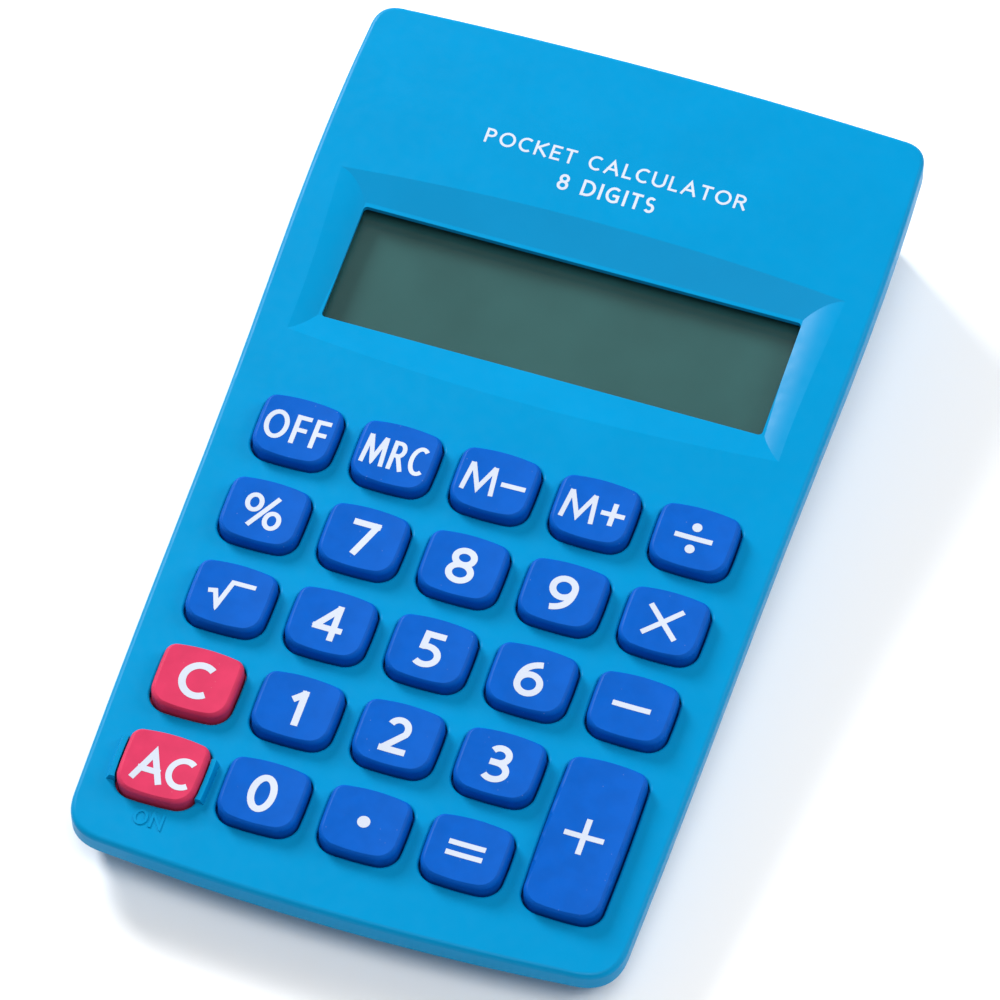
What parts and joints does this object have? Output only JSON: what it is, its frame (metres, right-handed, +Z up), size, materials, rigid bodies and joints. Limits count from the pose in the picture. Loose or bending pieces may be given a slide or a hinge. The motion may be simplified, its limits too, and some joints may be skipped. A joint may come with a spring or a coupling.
{
  "type": "pocket calculator",
  "caption": "Wedge-shaped handheld calculator with a recessed display, sprung silicone keys, two-part shell and a sliding battery cover.",
  "frame": {"origin": "middle of the footprint, on the flat underside", "axes": "+Z up from the surface it rests on, +Y towards the display end, +X to the user's right; the key panel leans towards the user by 4.62 degrees about X"},
  "size_m": [0.0686, 0.1178, 0.0183],
  "materials": {
    "case_blue": "satin moulded ABS",
    "key_blue": "matte silicone",
    "key_pink": "matte silicone",
    "clear_window": "clear acrylic",
    "lcd_polariser": "grey-green film",
    "lcd_glass": "clear glass",
    "lcd_reflector": "satin grey film",
    "connector_rubber": "silicone with conducting layers",
    "board_green": "solder mask",
    "carbon_ink": "matte carbon",
    "mat_silicone": "translucent silicone",
    "black_epoxy": "cast epoxy",
    "can_aluminium": "brushed",
    "cell_jacket": "printed jacket over steel can",
    "contact_steel": "nickel plated",
    "screw_steel": "zinc plated"
  },
  "bodies": {
    "case": {"front_case": "case_blue", "rear_case": "case_blue", "display_window": "clear_window", "lcd_front_polariser": "lcd_polariser", "lcd_front_glass": "lcd_glass", "lcd_rear_glass": "lcd_glass", "lcd_reflector": "lcd_reflector", "zebra_connector": "connector_rubber", "circuit_board": "board_green", "contact_pads": "carbon_ink", "keypad_mat": "mat_silicone", "carbon_pills": "carbon_ink", "chip_blob": "black_epoxy", "capacitor": "can_aluminium", "resistors": "black_epoxy", "battery_cell": "cell_jacket", "positive_contact": "contact_steel", "negative_contact": "contact_steel", "battery_spring": "contact_steel", "case_screws": "screw_steel", "board_screws": "screw_steel"},
    "battery_cover": {"battery_cover": "case_blue"},
    "key_off": {"key_off": "key_blue"},
    "key_mrc": {"key_mrc": "key_blue"},
    "key_m_minus": {"key_m_minus": "key_blue"},
    "key_m_plus": {"key_m_plus": "key_blue"},
    "key_divide": {"key_divide": "key_blue"},
    "key_percent": {"key_percent": "key_blue"},
    "key_7": {"key_7": "key_blue"},
    "key_8": {"key_8": "key_blue"},
    "key_9": {"key_9": "key_blue"},
    "key_multiply": {"key_multiply": "key_blue"},
    "key_root": {"key_root": "key_blue"},
    "key_4": {"key_4": "key_blue"},
    "key_5": {"key_5": "key_blue"},
    "key_6": {"key_6": "key_blue"},
    "key_minus": {"key_minus": "key_blue"},
    "key_c": {"key_c": "key_pink"},
    "key_1": {"key_1": "key_blue"},
    "key_2": {"key_2": "key_blue"},
    "key_3": {"key_3": "key_blue"},
    "key_ac": {"key_ac": "key_pink"},
    "key_0": {"key_0": "key_blue"},
    "key_point": {"key_point": "key_blue"},
    "key_equals": {"key_equals": "key_blue"},
    "key_plus": {"key_plus": "key_blue"}
  },
  "joints": [
    {"name": "cover_slide", "type": "slide", "parent": "case", "child": "battery_cover", "axis": [0, 1, 0], "range_m": [0, 0.024]},
    {"name": "press_off", "type": "slide", "parent": "case", "child": "key_off", "axis": [0, 0.0805, -0.9968], "range_m": [0, 0.001], "stiffness_N_per_m": 800, "deforming": ["keypad_mat", "carbon_pills"]},
    {"name": "press_mrc", "type": "slide", "parent": "case", "child": "key_mrc", "axis": [0, 0.0805, -0.9968], "range_m": [0, 0.001], "stiffness_N_per_m": 800, "deforming": ["keypad_mat", "carbon_pills"]},
    {"name": "press_m_minus", "type": "slide", "parent": "case", "child": "key_m_minus", "axis": [0, 0.0805, -0.9968], "range_m": [0, 0.001], "stiffness_N_per_m": 800, "deforming": ["keypad_mat", "carbon_pills"]},
    {"name": "press_m_plus", "type": "slide", "parent": "case", "child": "key_m_plus", "axis": [0, 0.0805, -0.9968], "range_m": [0, 0.001], "stiffness_N_per_m": 800, "deforming": ["keypad_mat", "carbon_pills"]},
    {"name": "press_divide", "type": "slide", "parent": "case", "child": "key_divide", "axis": [0, 0.0805, -0.9968], "range_m": [0, 0.001], "stiffness_N_per_m": 800, "deforming": ["keypad_mat", "carbon_pills"]},
    {"name": "press_percent", "type": "slide", "parent": "case", "child": "key_percent", "axis": [0, 0.0805, -0.9968], "range_m": [0, 0.001], "stiffness_N_per_m": 800, "deforming": ["keypad_mat", "carbon_pills"]},
    {"name": "press_7", "type": "slide", "parent": "case", "child": "key_7", "axis": [0, 0.0805, -0.9968], "range_m": [0, 0.001], "stiffness_N_per_m": 800, "deforming": ["keypad_mat", "carbon_pills"]},
    {"name": "press_8", "type": "slide", "parent": "case", "child": "key_8", "axis": [0, 0.0805, -0.9968], "range_m": [0, 0.001], "stiffness_N_per_m": 800, "deforming": ["keypad_mat", "carbon_pills"]},
    {"name": "press_9", "type": "slide", "parent": "case", "child": "key_9", "axis": [0, 0.0805, -0.9968], "range_m": [0, 0.001], "stiffness_N_per_m": 800, "deforming": ["keypad_mat", "carbon_pills"]},
    {"name": "press_multiply", "type": "slide", "parent": "case", "child": "key_multiply", "axis": [0, 0.0805, -0.9968], "range_m": [0, 0.001], "stiffness_N_per_m": 800, "deforming": ["keypad_mat", "carbon_pills"]},
    {"name": "press_root", "type": "slide", "parent": "case", "child": "key_root", "axis": [0, 0.0805, -0.9968], "range_m": [0, 0.001], "stiffness_N_per_m": 800, "deforming": ["keypad_mat", "carbon_pills"]},
    {"name": "press_4", "type": "slide", "parent": "case", "child": "key_4", "axis": [0, 0.0805, -0.9968], "range_m": [0, 0.001], "stiffness_N_per_m": 800, "deforming": ["keypad_mat", "carbon_pills"]},
    {"name": "press_5", "type": "slide", "parent": "case", "child": "key_5", "axis": [0, 0.0805, -0.9968], "range_m": [0, 0.001], "stiffness_N_per_m": 800, "deforming": ["keypad_mat", "carbon_pills"]},
    {"name": "press_6", "type": "slide", "parent": "case", "child": "key_6", "axis": [0, 0.0805, -0.9968], "range_m": [0, 0.001], "stiffness_N_per_m": 800, "deforming": ["keypad_mat", "carbon_pills"]},
    {"name": "press_minus", "type": "slide", "parent": "case", "child": "key_minus", "axis": [0, 0.0805, -0.9968], "range_m": [0, 0.001], "stiffness_N_per_m": 800, "deforming": ["keypad_mat", "carbon_pills"]},
    {"name": "press_c", "type": "slide", "parent": "case", "child": "key_c", "axis": [0, 0.0805, -0.9968], "range_m": [0, 0.001], "stiffness_N_per_m": 800, "deforming": ["keypad_mat", "carbon_pills"]},
    {"name": "press_1", "type": "slide", "parent": "case", "child": "key_1", "axis": [0, 0.0805, -0.9968], "range_m": [0, 0.001], "stiffness_N_per_m": 800, "deforming": ["keypad_mat", "carbon_pills"]},
    {"name": "press_2", "type": "slide", "parent": "case", "child": "key_2", "axis": [0, 0.0805, -0.9968], "range_m": [0, 0.001], "stiffness_N_per_m": 800, "deforming": ["keypad_mat", "carbon_pills"]},
    {"name": "press_3", "type": "slide", "parent": "case", "child": "key_3", "axis": [0, 0.0805, -0.9968], "range_m": [0, 0.001], "stiffness_N_per_m": 800, "deforming": ["keypad_mat", "carbon_pills"]},
    {"name": "press_ac", "type": "slide", "parent": "case", "child": "key_ac", "axis": [0, 0.0805, -0.9968], "range_m": [0, 0.001], "stiffness_N_per_m": 800, "deforming": ["keypad_mat", "carbon_pills"]},
    {"name": "press_0", "type": "slide", "parent": "case", "child": "key_0", "axis": [0, 0.0805, -0.9968], "range_m": [0, 0.001], "stiffness_N_per_m": 800, "deforming": ["keypad_mat", "carbon_pills"]},
    {"name": "press_point", "type": "slide", "parent": "case", "child": "key_point", "axis": [0, 0.0805, -0.9968], "range_m": [0, 0.001], "stiffness_N_per_m": 800, "deforming": ["keypad_mat", "carbon_pills"]},
    {"name": "press_equals", "type": "slide", "parent": "case", "child": "key_equals", "axis": [0, 0.0805, -0.9968], "range_m": [0, 0.001], "stiffness_N_per_m": 800, "deforming": ["keypad_mat", "carbon_pills"]},
    {"name": "press_plus", "type": "slide", "parent": "case", "child": "key_plus", "axis": [0, 0.0805, -0.9968], "range_m": [0, 0.001], "stiffness_N_per_m": 800, "deforming": ["keypad_mat", "carbon_pills"]}
  ]
}
